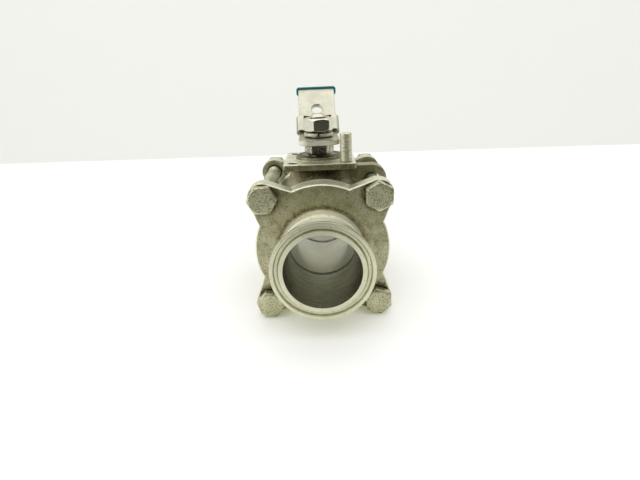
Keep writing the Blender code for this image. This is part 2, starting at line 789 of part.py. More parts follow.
def build_housing(looks, centre):
    """Everything that the pipe holds still."""
    half_turn = (0.0, 0.0, math.pi)
    place("body", body(), looks["cast"], centre)
    for base, mesh, look in (
        ("end_cap", end_cap(), looks["cast"]),
        ("seat", seat(), looks["ptfe"]),
        ("body_seal", body_seal(), looks["ptfe"]),
    ):
        place(base + "_near", mesh, look, centre)
        place(base + "_far", mesh, look, centre, rotation=half_turn)
    bolt_mesh = bolt()
    nut_mesh = moved(hex_nut(BOLT_FLATS, BOLT_R + GAP, NUT_HEIGHT), ALONG_PIPE)
    washer_mesh = split_ring(BOLT_R + GAP, SPRING_WASHER_R, SPRING_WASHER_THICKNESS, 0.0, SMALL)
    washer_mesh = moved(washer_mesh, ALONG_PIPE)
    washer_y = CAP_OUTER + GAP
    nut_y = washer_y + SPRING_WASHER_THICKNESS + GAP
    for index, (x, z) in enumerate(bolt_places()):
        number = str(index + 1)
        head_turn = (0.0, math.radians(HEAD_TURNS[index]), 0.0)
        nut_turn = (0.0, math.radians(NUT_TURNS[index]), 0.0)
        place("bolt_" + number, bolt_mesh, looks["bolt"], centre, (x, -CAP_OUTER - GAP, z), head_turn)
        place("spring_washer_" + number, washer_mesh, looks["bolt"], centre, (x, washer_y, z), nut_turn)
        place("bolt_nut_" + number, nut_mesh, looks["bolt"], centre, (x, nut_y, z), nut_turn)
    washer_low = COLLAR_TOP + GAP
    thrust = ring(STEM_R + GAP, COLLAR_R + 0.2 * MM, washer_low, THROAT_BOTTOM - GAP)
    place("thrust_washer", thrust, looks["ptfe"], centre)
    heights = packing_stack()
    packing_mesh = ring(STEM_R + GAP, CHAMBER_R - GAP, 0.0, RING_HEIGHT)
    for name in ("packing_ring_1", "packing_ring_2"):
        place(name, packing_mesh, looks["ptfe"], centre, (0.0, 0.0, heights[name]))
    follower = ring(STEM_R + GAP, CHAMBER_R - GAP, 0.0, FOLLOWER_HEIGHT)
    place("gland_follower", follower, looks["turned"], centre, (0.0, 0.0, heights["gland_follower"]))
    post_spot = (PAD_HOLE_OFFSET, -PAD_HOLE_OFFSET, 0.0)
    place("stop_post", stop_post(), looks["bolt"], centre, post_spot)


def build_turning_parts(looks, axis):
    """Everything that turns with the lever, about the stem's axis."""
    place("ball", ball(), looks["polished"], axis)
    place("stem", stem(), looks["turned"], axis)
    heights = packing_stack()
    cone = 0.3 * MM
    for name, height in (("disc_spring_1", cone), ("disc_spring_2", -cone)):
        place(name, disc_spring(height), looks["turned"], axis, (0.0, 0.0, heights[name]))
    gland_nut = hex_nut(GLAND_NUT_FLATS, STEM_R + GAP, GLAND_NUT_TOP - GLAND_NUT_BOTTOM)
    place("gland_nut", gland_nut, looks["turned"], axis, (0.0, 0.0, GLAND_NUT_BOTTOM))
    washer = split_ring(STEM_THREAD_R + GAP, LEVER_WASHER_R, LEVER_WASHER_THICKNESS - 0.5 * MM, 0.5 * MM)
    place("lever_washer", washer, looks["polished"], axis, (0.0, 0.0, LEVER_WASHER_BOTTOM))
    nut = hex_nut(LEVER_NUT_FLATS, STEM_THREAD_R + GAP, LEVER_NUT_TOP - LEVER_NUT_BOTTOM)
    nut_turn = (0.0, 0.0, math.radians(LEVER_NUT_TURN))
    place("lever_nut", nut, looks["polished"], axis, (0.0, 0.0, LEVER_NUT_BOTTOM), nut_turn)
    lever_axis = axis_empty("lever_axis", (0.0, 0.0, 0.0), axis, (0.0, 0.0, LEVER_PLAY))
    place("lever", lever(), looks["sheet"], lever_axis)
    grip_start = Vector((0.0, *lever_path()[2]))
    tilt = (-GRIP_DROOP, 0.0, 0.0)
    start = grip_start + Matrix.Rotation(-GRIP_DROOP, 3, "X") @ Vector((0.0, SLEEVE_START, 0.0))
    length = (LEVER_REACH - start.y) / math.cos(GRIP_DROOP) - 0.1 * MM
    place("grip_sleeve", grip_sleeve(length), looks["vinyl"], lever_axis, start, tilt)
    slide_axis = axis_empty("slide_axis", riser_point(SLIDE_ALONG), lever_axis, (RISER_ANGLE, 0.0, 0.0))
    place("lock_slide", lock_slide(), looks["sheet"], slide_axis)


clear_scene()
valve_centre = axis_empty("valve_centre", CENTRE)
stem_axis = axis_empty("stem_axis", (0.0, 0.0, 0.0), valve_centre)
surfaces = make_materials()
build_housing(surfaces, valve_centre)
build_turning_parts(surfaces, stem_axis)
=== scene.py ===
"""Looks of a three-piece ball valve with clamp ferrules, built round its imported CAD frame.

Sizes below are in millimetres about the valve's centre, where the pipe's axis (Y) meets the stem's
axis (Z). Every piece is built there and then moved to the centre that the frame gives.
"""

import math

import bmesh
import bpy
from mathutils import Matrix, Vector


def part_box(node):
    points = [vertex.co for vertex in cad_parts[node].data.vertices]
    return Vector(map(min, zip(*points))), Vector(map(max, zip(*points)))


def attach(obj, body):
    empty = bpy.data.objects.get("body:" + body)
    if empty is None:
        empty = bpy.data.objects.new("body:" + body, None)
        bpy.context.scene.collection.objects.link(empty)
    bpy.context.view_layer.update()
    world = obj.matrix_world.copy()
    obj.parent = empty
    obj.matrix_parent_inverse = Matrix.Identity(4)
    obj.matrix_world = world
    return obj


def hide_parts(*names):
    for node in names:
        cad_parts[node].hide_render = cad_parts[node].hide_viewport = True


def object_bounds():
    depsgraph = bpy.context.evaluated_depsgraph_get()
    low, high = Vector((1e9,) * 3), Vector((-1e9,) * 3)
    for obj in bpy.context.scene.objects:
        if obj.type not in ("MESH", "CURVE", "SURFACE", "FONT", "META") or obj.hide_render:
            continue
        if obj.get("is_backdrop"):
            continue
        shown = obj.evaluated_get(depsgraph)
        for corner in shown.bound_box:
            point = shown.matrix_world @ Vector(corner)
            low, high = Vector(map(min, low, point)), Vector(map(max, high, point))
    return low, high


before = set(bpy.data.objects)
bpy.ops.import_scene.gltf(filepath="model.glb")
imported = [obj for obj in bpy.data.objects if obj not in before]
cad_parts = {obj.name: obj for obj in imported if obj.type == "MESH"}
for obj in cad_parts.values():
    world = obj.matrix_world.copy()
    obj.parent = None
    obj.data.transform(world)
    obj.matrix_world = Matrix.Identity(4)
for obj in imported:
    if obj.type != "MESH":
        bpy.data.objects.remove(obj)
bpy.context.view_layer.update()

MM = 0.001
BALL_LOW, BALL_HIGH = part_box("ball")
BODY_LOW, BODY_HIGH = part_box("body")
CENTRE = Vector(((BALL_LOW.x + BALL_HIGH.x) / 2, (BODY_LOW.y + BODY_HIGH.y) / 2, 0.0))
CENTRE.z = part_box("end_cap_near")[1].z / 2


def heights(node):
    """A node's lowest and highest point, in millimetres above the pipe's axis."""
    low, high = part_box(node)
    return (low.z - CENTRE.z) / MM, (high.z - CENTRE.z) / MM


# End caps
BORE = 23.75
FACE = -(CENTRE.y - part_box("end_cap_near")[0].y) / MM  # of the near ferrule, along the pipe
RIM = 31.95
NECK = 26.8
NECK_END = -52.5
GROOVE = 28.15
HUB = 27.6
HUB_FOOT = 33.2  # where the hub's section turns down into the disc
SPIGOT = 38.2
SPIGOT_END = -30.0
CAP_INNER = -33.3
CAP_OUTER = -43.3
DISC = 44.85
BOLTS = 37.07
EAR = 10.0
NOTCH = math.radians(19.2)
SEAT_POCKET = 31.6
SEAT_FLOOR = -32.8
SEAT_RIM = 31.3
SEAT_BACK = -32.5

# Body and ball
BALL = 38.0
DRUM = 44.5
WAIST = 42.6
HALF_LENGTH = 33.0
BAND = 26.5  # the raised, machined band at each end starts here
BAND_FOOT = 25.0
CAVITY = 41.0
PAD_HALF = 24.65
PAD_TOP = 53.9
PAD_BOTTOM = 49.6
PAD_HOLES = 18.0
BOSS = 16.5
BOSS_TOP = 56.4
CHAMBER = 11.0
LUG = 10.5
LUG_HALF = 4.8

# Lever, from the stem outwards
PLAY = math.radians(1.5)  # how far the open lever stands off the line of the pipe
LEVER_HALF = 14.0
LEVER_THICK = 3.5
LEVER_MIDDLE = 66.75
RISER_START = 21.0
RISER_ANGLE = math.radians(47.0)
RISE = 30.0
REACH = 175.0
DROOP = math.radians(1.5)  # how far the grip slopes down towards its end
PADLOCK_HOLE = 4.2
PADLOCK_AT = 22.6  # up the riser, as is the next
SLIDE_AT = 9.0

# Fasteners
BOLT_RADIUS = 5.0
BOLT_LENGTH = 100.0
BOLT_FLATS = 17.0
BOLT_HOLE = 6.0
HEAD_HEIGHT = 6.4
NUT_HEIGHT = 8.0
NUT_HOLE = 5.3
LOCK_WASHER = 2.4
WASHER_CUT = math.radians(8.0)
PITCH = 1.5
HEX_CORNER = 0.12  # how far a hexagon's corner is cut back
STEM = 7.0
STEM_THREAD = 5.9
CAP_GAP = 0.3  # between a cap and what is tightened against it
HEAD_TURNS = (0.0, 30.0, 12.0, 20.0)  # degrees: upper left, upper right, lower left, lower right
NUT_TURNS = (0.0, 0.0, 38.0, 52.0)

ROUND = 96  # sides of a round piece
FINE = 192  # sides of a hexagon, a thread or a large thin ring
CREASE = math.radians(32.0)  # edges bent by more than this stay sharp
SQUARE = ((-1, -1), (1, -1), (1, 1), (-1, 1))  # a rectangle's corners, anticlockwise


# Shapes


def at_angle(radius, angle, height):
    return Vector((radius * math.cos(angle), radius * math.sin(angle), height))


def turns(sides):
    return [math.tau * step / sides for step in range(sides)]


def circle(radius, height, sides):
    return [at_angle(radius, angle, height) for angle in turns(sides)]


def filleted(points, steps=5, closed=False):
    """Turns (x, y, radius) corners into arcs. A corner given without a radius stays sharp."""
    out = []
    for index, point in enumerate(points):
        corner = Vector(point[:2])
        ends = index in (0, len(points) - 1) and not closed
        if ends or len(point) < 3:
            out.append(corner)
            continue
        radius = point[2]
        back = (Vector(points[index - 1][:2]) - corner).normalized()
        ahead = (Vector(points[(index + 1) % len(points)][:2]) - corner).normalized()
        half = back.angle(ahead) / 2
        middle = corner + (back + ahead).normalized() * radius / math.sin(half)
        first = corner + back * radius / math.tan(half) - middle
        last = corner + ahead * radius / math.tan(half) - middle
        sweep = first.angle_signed(last)
        for step in range(steps + 1):
            spoke = first.copy()
            spoke.rotate(Matrix.Rotation(-sweep * step / steps, 2))
            out.append(middle + spoke)
    return out


def arc(centre, radius, start, end, steps):
    angles = [start + (end - start) * step / steps for step in range(steps + 1)]
    return [Vector(centre) + Vector((radius * math.cos(a), radius * math.sin(a))) for a in angles]


def loft(rings, ends=True):
    """Skins a row of rings that have the same number of points.

    With ends the first and last ring are filled. Without it the last ring meets the first.
    """
    bm = bmesh.new()
    made = [[bm.verts.new(point) for point in ring] for ring in rings]
    pairs = list(zip(made, made[1:]))
    if not ends:
        pairs.append((made[-1], made[0]))
    count = len(made[0])
    for here, there in pairs:
        for side in range(count):
            after = (side + 1) % count
            bm.faces.new((here[side], here[after], there[after], there[side]))
    if ends:
        for ring, middle in ((made[0], rings[0]), (made[-1], rings[-1])):
            hub = bm.verts.new(sum((Vector(p) for p in middle), Vector()) / count)
            for side in range(count):
                bm.faces.new((hub, ring[side], ring[(side + 1) % count]))
    bmesh.ops.recalc_face_normals(bm, faces=bm.faces)
    mesh = bpy.data.meshes.new("shape")
    bm.to_mesh(mesh)
    bm.free()
    return mesh


def turned(outline, sides=ROUND, ring=False):
    """A round piece about Z from (radius, height) points, solid or, with ring, hollow."""
    rings = [circle(max(radius, 0.01), height, sides) for radius, height in outline]
    return loft(rings, ends=not ring)


def flat_outline(points, height):
    return [Vector((x, y, height)) for x, y in points]


def inset(points, distance):
    """A closed outline moved inwards by a distance. Its points run anticlockwise."""
    out = []
    for index, point in enumerate(points):
        before = (point - points[index - 1]).normalized()
        after = (points[(index + 1) % len(points)] - point).normalized()
        normal = Vector((-before.y - after.y, before.x + after.x)).normalized()
        stretch = max(normal.dot(Vector((-before.y, before.x))), 0.5)
        out.append(point + normal * distance / stretch)
    return out


def plate(outline, low, high, low_edge=0.0, high_edge=0.0):
    """An outline extruded along Z, with either rim rounded."""
    steps = 4
    rings = []
    for step in range(steps + 1):
        angle = math.radians(90.0) * step / steps
        away = low_edge * (1 - math.sin(angle))
        rings.append(flat_outline(inset(outline, away), low + low_edge * (1 - math.cos(angle))))
    for step in range(steps + 1):
        angle = math.radians(90.0) * step / steps
        away = high_edge * (1 - math.cos(angle))
        rings.append(flat_outline(inset(outline, away), high - high_edge * (1 - math.sin(angle))))
    return loft(rings)


def turned_on(mesh, *matrices):
    for matrix in matrices:
        mesh.transform(matrix)
    return mesh


def combined(mesh, others, operation, solver="EXACT"):
    """Joins, cuts or trims a mesh with others by Booleans, keeping each one's material slots."""
    for other in others:
        target = bpy.data.objects.new("target", mesh)
        tool = bpy.data.objects.new("tool", other)
        for helper in (target, tool):
            bpy.context.scene.collection.objects.link(helper)
        step = target.modifiers.new("step", "BOOLEAN")
        step.operation = operation
        step.solver = solver
        step.object = tool
        graph = bpy.context.evaluated_depsgraph_get()
        mesh = bpy.data.meshes.new_from_object(target.evaluated_get(graph))
        for helper in (target, tool):
            bpy.data.objects.remove(helper)
    return mesh


ALONG_PIPE = Matrix.Rotation(math.radians(-90.0), 4, "X")  # local Z becomes +Y
UPRIGHT = Matrix.Rotation(math.radians(90.0), 4, "X")  # local Y becomes +Z, local Z becomes -Y


# Materials


class Nodes:
    """A material's node tree, with short calls to add and join nodes."""

    def __init__(self, name):
        self.material = bpy.data.materials.new(name)
        self.material.use_nodes = True
        self.tree = self.material.node_tree
        self.shader = self.tree.nodes["Principled BSDF"]

    def add(self, kind, **settings):
        node = self.tree.nodes.new(kind)
        for key, value in settings.items():
            setattr(node, key, value)
        return node

    def join(self, source, target):
        self.tree.links.new(source, target)

    def math(self, operation, first, second=None):
        node = self.add("ShaderNodeMath", operation=operation)
        for slot, value in enumerate((first, second)):
            if isinstance(value, (int, float)):
                node.inputs[slot].default_value = value
            elif value is not None:
                self.join(value, node.inputs[slot])
        return node.outputs[0]

    def length(self, first, second):
        squares = [self.math("MULTIPLY", side, side) for side in (first, second)]
        return self.math("SQRT", self.math("ADD", *squares))

    def axes(self, vector):
        split = self.add("ShaderNodeSeparateXYZ")
        self.join(vector, split.inputs[0])
        return split.outputs["X"], split.outputs["Y"], split.outputs["Z"]

    def place(self):
        """Object coordinates in millimetres."""
        scale = self.add("ShaderNodeVectorMath", operation="SCALE")
        scale.inputs["Scale"].default_value = 1.0 / MM
        self.join(self.add("ShaderNodeTexCoord").outputs["Object"], scale.inputs[0])
        return scale.outputs[0]

    def noise(self, vector, scale, detail=4.0, roughness=0.55):
        node = self.add("ShaderNodeTexNoise")
        node.inputs["Scale"].default_value = scale
        node.inputs["Detail"].default_value = detail
        node.inputs["Roughness"].default_value = roughness
        self.join(vector, node.inputs["Vector"])
        return node.outputs["Fac"]

    def spread(self, value, low, high, to_low=0.0, to_high=1.0):
        node = self.add("ShaderNodeMapRange")
        settings = {"From Min": low, "From Max": high, "To Min": to_low, "To Max": to_high}
        for name, number in settings.items():
            node.inputs[name].default_value = number
        self.join(value, node.inputs["Value"])
        return node.outputs[0]

    def mix(self, factor, first, second):
        node = self.add("ShaderNodeMix", data_type="RGBA")
        self.join(factor, node.inputs["Factor"])
        for name, value in (("A", first), ("B", second)):
            socket = [s for s in node.inputs if s.name == name and s.type == "RGBA"][0]
            if isinstance(value, tuple):
                socket.default_value = (*value, 1.0)
            else:
                self.join(value, socket)
        return [s for s in node.outputs if s.type == "RGBA"][0]

    def bump(self, height, distance, strength, normal=None):
        node = self.add("ShaderNodeBump")
        node.inputs["Strength"].default_value = strength
        node.inputs["Distance"].default_value = distance * MM
        self.join(height, node.inputs["Height"])
        if normal is not None:
            self.join(normal, node.inputs["Normal"])
        return node.outputs["Normal"]

    def set(self, **values):
        for name, value in values.items():
            socket = self.shader.inputs[name.replace("_", " ")]
            if isinstance(value, (int, float)):
                socket.default_value = value
            else:
                self.join(value, socket)
        return self.material


# Dark brown used both as dirt and as painted shade: in corners, on the pad's sides and under the
# pad
SHADE_AND_GRIME = (0.085, 0.066, 0.030)
RUST = (0.26, 0.090, 0.018)


def shade_dirt_and_rust(tree, vector, colour, reach, amount):
    """Lays painted shade where ambient occlusion finds corners, with the dirt that gathers there,
    and a few rust specks, over a colour.
    """
    occlusion = tree.add("ShaderNodeAmbientOcclusion", samples=6)
    occlusion.inputs["Distance"].default_value = reach * MM
    # painted shade: darker where ambient occlusion finds corners and recesses, mixed with the dirt
    # gathered there
    corners = tree.spread(occlusion.outputs["AO"], 0.90, 0.52)
    patches = tree.spread(tree.noise(vector, 0.30), 0.35, 0.60, 0.35, 1.0)
    shade_and_dirt = tree.math("MULTIPLY", tree.math("MULTIPLY", corners, patches), amount)
    colour = tree.mix(shade_and_dirt, colour, SHADE_AND_GRIME)
    specks = tree.spread(tree.noise(vector, 0.48, 2.0), 0.655, 0.70)
    return tree.mix(tree.math("MULTIPLY", specks, 0.85 * amount), colour, RUST)


def body_darkening(tree, vector):
    """Where the body is darkened: on the packing boss, painted shade on the pad's sides, painted
    shadow under the pad.
    """
    x, y, height = tree.axes(vector)
    ring = tree.spread(tree.length(x, y), BOSS + 1.0, BOSS - 0.8)
    boss = tree.math("MULTIPLY", ring, tree.spread(height, PAD_TOP - 0.6, PAD_TOP))
    sideways = tree.math("ABSOLUTE", x)
    across = tree.math("MAXIMUM", sideways, tree.math("ABSOLUTE", y))
    column = tree.spread(across, PAD_HALF + 3.0, PAD_HALF + 0.5)
    # painted shade: the pad's sides darker than its top, which faces the lamp
    pad_side_shade = tree.math("MULTIPLY", column, tree.spread(height, PAD_TOP, PAD_TOP - 0.7, 0.0, 0.45))
    pad_side_shade = tree.math("MULTIPLY", pad_side_shade, tree.spread(height, PAD_BOTTOM - 1.5, PAD_BOTTOM))
    # painted shadow: under the pad, on its neck and on the drum's top
    shade = tree.math("MULTIPLY", column, tree.spread(height, PAD_BOTTOM + 0.8, PAD_BOTTOM - 0.4))
    shade = tree.math("MULTIPLY", shade, tree.spread(height, WAIST - 4.0, WAIST - 1.0))
    shade = tree.math("MULTIPLY", shade, tree.spread(sideways, 23.0, 13.0, 0.35, 0.95))
    patches = tree.spread(tree.noise(vector, 0.6, 5.0, 0.7), 0.36, 0.58, 0.45, 1.0)
    worst = tree.math("MAXIMUM", boss, tree.math("MAXIMUM", pad_side_shade, shade))
    return tree.math("MULTIPLY", worst, patches)


def cap_darkening(tree, vector):
    """Where an end cap's face is darkened: round the bolt heads and round the foot of the hub."""
    x, along, z = (tree.math("ABSOLUTE", side) for side in tree.axes(vector))
    from_bolt = tree.length(tree.math("SUBTRACT", x, BOLTS), tree.math("SUBTRACT", z, BOLTS))
    heads = tree.spread(from_bolt, 12.8, 9.4)
    radius = tree.length(x, z)
    foot = tree.spread(radius, HUB + 4.4, HUB + 2.4, 0.0, 0.8)
    foot = tree.math("MULTIPLY", foot, tree.spread(radius, HUB + 0.8, HUB + 2.0))
    face = tree.math("MULTIPLY", tree.spread(along, 46.0, 45.0), tree.spread(along, 42.3, 43.1))
    worst = tree.math("MULTIPLY", tree.math("MAXIMUM", heads, foot), face)
    patches = tree.spread(tree.noise(vector, 0.42, 5.0, 0.7), 0.42, 0.56, 0.15, 0.95)
    return tree.math("MULTIPLY", worst, patches)


def cast_steel(name, dark, light, grime_and_shade, roughness=0.43):
    """Blasted casting: pits, mottling, stains, darkening round bolts and hub, painted shade in
    corners, under the pad and towards the top.
    """
    tree = Nodes(name)
    where = tree.place()
    mottle = tree.spread(tree.noise(where, 0.09, 5.0), 0.35, 0.65)
    colour = tree.mix(mottle, dark, light)
    grain = tree.noise(where, 1.6, 7.0, 0.8)
    worn = tuple(channel * 0.30 for channel in dark)
    shiny = tuple(min(channel * 1.35, 0.9) for channel in light)
    colour = tree.mix(tree.spread(grain, 0.38, 0.50, 0.75, 0.0), colour, worn)
    colour = tree.mix(tree.spread(grain, 0.53, 0.62, 0.0, 0.6), colour, shiny)
    stains = tree.spread(tree.noise(where, 0.22, 5.0, 0.65), 0.54, 0.68, 0.0, 0.7 * grime_and_shade)
    colour = tree.mix(stains, colour, (0.24, 0.185, 0.08))
    # painted shade: darker the higher the casting stands, from 8 mm above the pipe's axis up to the
    # pad
    height = tree.axes(where)[2]
    top_shade = tree.spread(height, 8.0, 46.0, 0.0, 0.42 * grime_and_shade)
    top_shade = tree.math("MULTIPLY", top_shade, tree.spread(height, PAD_TOP, PAD_BOTTOM))
    colour = tree.mix(top_shade, colour, (0.20, 0.185, 0.095))
    # painted shade with dirt in corners, and rust specks
    colour = shade_dirt_and_rust(tree, where, colour, 5.0, grime_and_shade)
    # painted shade on the pad's sides and under the pad; darkening on the boss and round the bolts
    # and hub
    colour = tree.mix(body_darkening(tree, where), colour, SHADE_AND_GRIME)
    colour = tree.mix(tree.math("MULTIPLY", cap_darkening(tree, where), grime_and_shade), colour, SHADE_AND_GRIME)
    pits = tree.bump(grain, 0.30, 0.9)
    swell = tree.bump(tree.noise(where, 0.30, 2.0), 0.5, 0.5, pits)
    rough = tree.spread(grain, 0.3, 0.7, roughness + 0.09, roughness - 0.09)
    return tree.set(Base_Color=colour, Metallic=1.0, Roughness=rough, Normal=swell)


def turned_steel(name, colour, roughness, stem_axis=False, groove=0.03):
    """Steel from a lathe: fine rings round the pipe's axis, or round the stem's."""
    tree = Nodes(name)
    where = tree.place()
    x, y, z = tree.axes(where)
    across, along = (y, z) if stem_axis else (z, y)
    polar = tree.add("ShaderNodeCombineXYZ")
    tree.join(tree.length(x, across), polar.inputs[0])
    tree.join(along, polar.inputs[1])
    lines = tree.noise(polar.outputs[0], 3.4, 3.0, 0.7)
    cloud = tree.spread(tree.noise(where, 0.07, 3.0), 0.35, 0.65)
    dull = tuple(channel * 0.86 for channel in colour)
    shade = tree.mix(cloud, dull, colour)
    # painted shade with dirt in corners, and rust specks
    shade = shade_dirt_and_rust(tree, where, shade, 2.5, 0.45)
    rough = tree.math("ADD", tree.spread(lines, 0.3, 0.7, -0.05, 0.07), roughness)
    ridges = tree.bump(lines, groove, 0.6)
    return tree.set(Base_Color=shade, Metallic=1.0, Roughness=rough, Normal=ridges)


def forged_steel(name, light, dark, roughness, grime_and_shade=0.8):
    """Cold-headed stock: fine speckle, clusters of dark spots, and brown dirt with painted shade in
    the corners.
    """
    tree = Nodes(name)
    where = tree.place()
    speckle = tree.noise(where, 1.6, 6.0, 0.8)
    spots = tree.spread(tree.noise(where, 1.0, 4.0, 0.7), 0.445, 0.485, 0.95 * grime_and_shade, 0.0)
    spots = tree.math("MULTIPLY", spots, tree.spread(tree.noise(where, 0.16, 2.0), 0.40, 0.52))
    shade = tree.mix(tree.spread(speckle, 0.42, 0.58), dark, light)
    shade = tree.mix(spots, shade, tuple(channel * 0.14 for channel in dark))
    # painted shade with dirt in corners, and rust specks
    shade = shade_dirt_and_rust(tree, where, shade, 3.0, grime_and_shade)
    rough = tree.spread(speckle, 0.3, 0.7, roughness + 0.1, roughness - 0.06)
    pits = tree.bump(tree.noise(where, 3.0, 3.0), 0.07, 0.6)
    return tree.set(Base_Color=shade, Metallic=1.0, Roughness=rough, Normal=pits)


def sheet_steel():
    """Rolled and deburred sheet, with fine scratches along the lever."""
    tree = Nodes("sheet_steel")
    where = tree.place()
    stretch = tree.add("ShaderNodeVectorMath", operation="MULTIPLY")
    stretch.inputs[1].default_value = (1.0, 0.05, 0.05)
    tree.join(where, stretch.inputs[0])
    brushed = tree.noise(stretch.outputs[0], 5.0, 4.0, 0.7)
    cloud = tree.spread(tree.noise(where, 0.12, 4.0), 0.35, 0.65)
    shade = tree.mix(cloud, (0.43, 0.42, 0.33), (0.52, 0.51, 0.42))
    specks = tree.spread(tree.noise(where, 1.1, 3.0, 0.7), 0.33, 0.39, 0.6, 0.0)
    shade = tree.mix(specks, shade, (0.22, 0.20, 0.12))
    # painted shade with dirt in corners, and rust specks
    shade = shade_dirt_and_rust(tree, where, shade, 2.0, 0.5)
    rough = tree.spread(brushed, 0.3, 0.7, 0.30, 0.44)
    scratches = tree.bump(brushed, 0.02, 0.5)
    return tree.set(Base_Color=shade, Metallic=1.0, Roughness=rough, Normal=scratches)


def ptfe():
    tree = Nodes("ptfe")
    where = tree.place()
    cloud = tree.spread(tree.noise(where, 0.2, 3.0), 0.35, 0.65)
    shade = tree.mix(cloud, (0.66, 0.64, 0.56), (0.78, 0.77, 0.71))
    pits = tree.bump(tree.noise(where, 1.5), 0.03, 0.5)
    return tree.set(Base_Color=shade, Roughness=0.5, Normal=pits)


def teal_vinyl():
    """Dipped vinyl: half gloss, with shallow ripples and a few dull scuffs."""
    tree = Nodes("teal_vinyl")
    where = tree.place()
    cloud = tree.spread(tree.noise(where, 0.10, 3.0), 0.35, 0.65)
    shade = tree.mix(cloud, (0.003, 0.170, 0.190), (0.003, 0.200, 0.222))
    scuffs = tree.spread(tree.noise(where, 0.6, 6.0, 0.8), 0.56, 0.68)
    shade = tree.mix(tree.math("MULTIPLY", scuffs, 0.35), shade, (0.10, 0.33, 0.34))
    rough = tree.spread(scuffs, 0.0, 1.0, 0.30, 0.55)
    ripple = tree.bump(tree.noise(where, 0.25, 2.0), 0.25, 0.5)
    return tree.set(Base_Color=shade, Roughness=rough, Normal=ripple)


CAST = cast_steel("cast_steel", (0.40, 0.385, 0.240), (0.60, 0.585, 0.405), 1.0)
# painted highlight: a far lighter copy of the cast steel for the disc's rim and the pad's top,
# which face the overhead lamp
CAST_LIT = cast_steel("cast_lit_steel", (0.76, 0.755, 0.56), (0.88, 0.875, 0.69), 0.3)
# painted highlight: a near-white copy of the cast steel for the hub, as if lit from above
HUB_CAST_LIT = cast_steel("hub_lit_steel", (0.86, 0.85, 0.63), (0.92, 0.91, 0.72), 0.15, 0.75)
TURNED = turned_steel("turned_steel", (0.68, 0.68, 0.49), 0.32)
# painted shade: darker copies of the turned steel for the bores, the body's inside and the ball
BORED_SHADED = turned_steel("bored_shaded_steel", (0.37, 0.365, 0.275), 0.20, groove=0.02)
CAP_BORE_SHADED = turned_steel("cap_bore_shaded_steel", (0.33, 0.325, 0.245), 0.27)
GLAND = forged_steel("gland_steel", (0.66, 0.64, 0.50), (0.20, 0.175, 0.10), 0.26, 1.0)
# a rougher satin finish whose colour is also painted lighter, a painted highlight on the cap's neck
# and the lever's nose edge
SATIN_LIT = turned_steel("satin_lit_steel", (0.84, 0.83, 0.70), 0.62)
MACHINED = turned_steel("machined_steel", (0.76, 0.75, 0.56), 0.58)
SPINDLE = turned_steel("spindle_steel", (0.56, 0.55, 0.45), 0.28, stem_axis=True)
BOLT = forged_steel("bolt_steel", (0.73, 0.725, 0.49), (0.42, 0.415, 0.26), 0.42)
POST = forged_steel("post_steel", (0.84, 0.83, 0.64), (0.54, 0.53, 0.37), 0.50, 0.5)
BRIGHT = forged_steel("bright_steel", (0.72, 0.71, 0.60), (0.64, 0.63, 0.52), 0.14, 0.2)
SHEET = sheet_steel()
PTFE = ptfe()
VINYL = teal_vinyl()


def piece(name, mesh, body, looks, nodes, place=Matrix(), paint=None):
    """Makes a finished piece: materials by face, smooth shading, its body and what it stands for.

    The mesh is in millimetres about the valve's centre once place has been applied to it. paint
    picks a face's material out of looks, from the middle of the face.
    """
    mesh.transform(place)
    mesh.materials.clear()
    for look in looks:
        mesh.materials.append(look)
    for face in mesh.polygons:
        face.material_index = looks.index(paint(face.center)) if paint else 0
    mesh.transform(Matrix.Scale(MM, 4))
    mesh.shade_smooth()
    mesh.set_sharp_from_angle(angle=CREASE)
    made = bpy.data.objects.new(name, mesh)
    bpy.context.scene.collection.objects.link(made)
    made.location = CENTRE
    normals = made.modifiers.new("even_shading", "WEIGHTED_NORMAL")
    normals.keep_sharp = True
    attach(made, body)
    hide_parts(*nodes)


# End caps


def cap_outline():
    """A disc with four ears, joined to each by straight flanks that leave notches in the rim."""
    distance = BOLTS * math.sqrt(2.0)
    notch = Vector((math.cos(NOTCH), math.sin(NOTCH))) * DISC
    spoke = notch - Vector((distance, 0.0))
    reach = math.atan2(spoke.y, spoke.x) - math.acos(EAR / spoke.length)
    soft = math.radians(1.6)
    points = []
    for quarter in range(4):
        middle = math.radians(45.0 + 90.0 * quarter)
        ear = (distance * math.cos(middle), distance * math.sin(middle))
        points += arc(ear, EAR, middle - reach, middle + reach, 28)
        start, end = middle + NOTCH, middle + math.radians(90.0) - NOTCH
        points += arc((0.0, 0.0), DISC, start + soft, end - soft, 36)
    return points


def hub_outline():
    """Half section of the near end, outwards from the bore at the ferrule's face."""
    groove = 1.6
    floor = FACE + 1.5
    taper = (RIM - NECK) * math.tan(math.radians(20.0))
    return filleted(
        [
            (0.0, FACE - 1.0),
            (BORE - 0.5, FACE - 1.0),
            (BORE - 0.5, FACE, 0.3),
            (GROOVE - groove, FACE, 0.25),
            (GROOVE - groove * 0.55, floor, 0.5),
            (GROOVE + groove * 0.55, floor, 0.5),
            (GROOVE + groove, FACE, 0.25),
            (RIM, FACE, 0.4),
            (RIM, FACE + 2.85, 0.5),
            (NECK, FACE + 2.85 + taper, 2.2),
            (NECK, NECK_END - 0.9, 0.2),
            (NECK + 0.25, NECK_END - 0.5, 0.2),
            (NECK - 0.7, NECK_END, 0.2),
            (HUB, NECK_END + 1.3, 0.6),
            (HUB, CAP_OUTER + 0.05, 2.4),
            (HUB_FOOT, CAP_OUTER + 0.05),
            (HUB_FOOT, CAP_OUTER + 4.0),
            (SPIGOT, CAP_OUTER + 4.0),
            (SPIGOT, SPIGOT_END, 0.4),
            (0.0, SPIGOT_END),
        ]
    )


